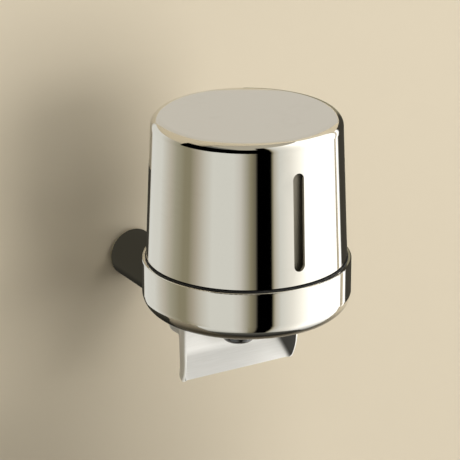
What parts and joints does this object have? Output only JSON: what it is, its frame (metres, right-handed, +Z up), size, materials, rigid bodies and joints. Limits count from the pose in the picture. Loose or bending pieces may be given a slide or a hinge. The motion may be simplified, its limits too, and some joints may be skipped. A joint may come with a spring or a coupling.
{
  "type": "wall mounted soap dispenser",
  "caption": "Wall mounted soap dispenser: tapered lift-off cap with a sight slot over a round cup, on a tubular wall arm, with a scoop-shaped push lever and a pull-down nozzle below.",
  "frame": {"origin": "on the wall, at the centre of the arm's rear end", "axes": "+Y into the wall, -Y out into the room along the arm, +Z up"},
  "size_m": [0.1, 0.165, 0.1327],
  "materials": {
    "polished_nickel": "polished warm nickel plate",
    "stainless": "machined",
    "white_acetal": "moulded, satin",
    "black_plastic": "moulded, fine grain",
    "black_rubber": "soft, matt",
    "smoked_plastic": "smoked, satin",
    "satin_nickel": "warm nickel plate with a fine satin finish",
    "gloss_black": "moulded, polished"
  },
  "bodies": {
    "root": {"wall_plate": "stainless", "arm_set_screw": "stainless", "arm_tube": "polished_nickel", "arm_head": "polished_nickel", "pivot_bushes": "white_acetal", "base_screws": "stainless", "base_cup": "polished_nickel", "collar_ring": "black_plastic", "cap_seal": "black_rubber", "reservoir": "smoked_plastic", "pump_gasket": "black_rubber", "pump_cylinder": "white_acetal", "cylinder_cap": "white_acetal", "stem_seal": "black_rubber", "gland_washer": "stainless", "nut_washer": "black_rubber", "pump_nut": "black_plastic", "pump_spring": "stainless"},
    "lever": {"lever": "satin_nickel", "pivot_screws": "stainless", "fork_pins": "stainless"},
    "pump_rod": {"pump_stem": "stainless", "piston": "white_acetal", "piston_seal": "black_rubber", "stem_collar": "white_acetal", "nozzle": "gloss_black", "outlet_valve": "black_rubber"},
    "cap": {"cap": "polished_nickel", "inner_lid": "white_acetal", "lid_gasket": "black_rubber"}
  },
  "joints": [
    {"name": "lever_pivot", "type": "hinge", "parent": "root", "child": "lever", "pos_m": [0, -0.089, 0], "axis": [1, 0, 0], "range_deg": [0, 12], "stiffness_Nm_per_rad": 0.9, "springref_deg": -6.88},
    {"name": "nozzle_slide", "type": "slide", "parent": "root", "child": "pump_rod", "axis": [0, 0, -1], "range_m": [0, 0.0039], "deforming": ["pump_spring"]},
    {"name": "cap_lift", "type": "slide", "parent": "root", "child": "cap", "axis": [0, 0, 1], "range_m": [0, 0.075]}
  ],
  "couplings": [
    {"joint": "nozzle_slide", "follows": "lever_pivot", "m_per_rad": 0.0186}
  ]
}
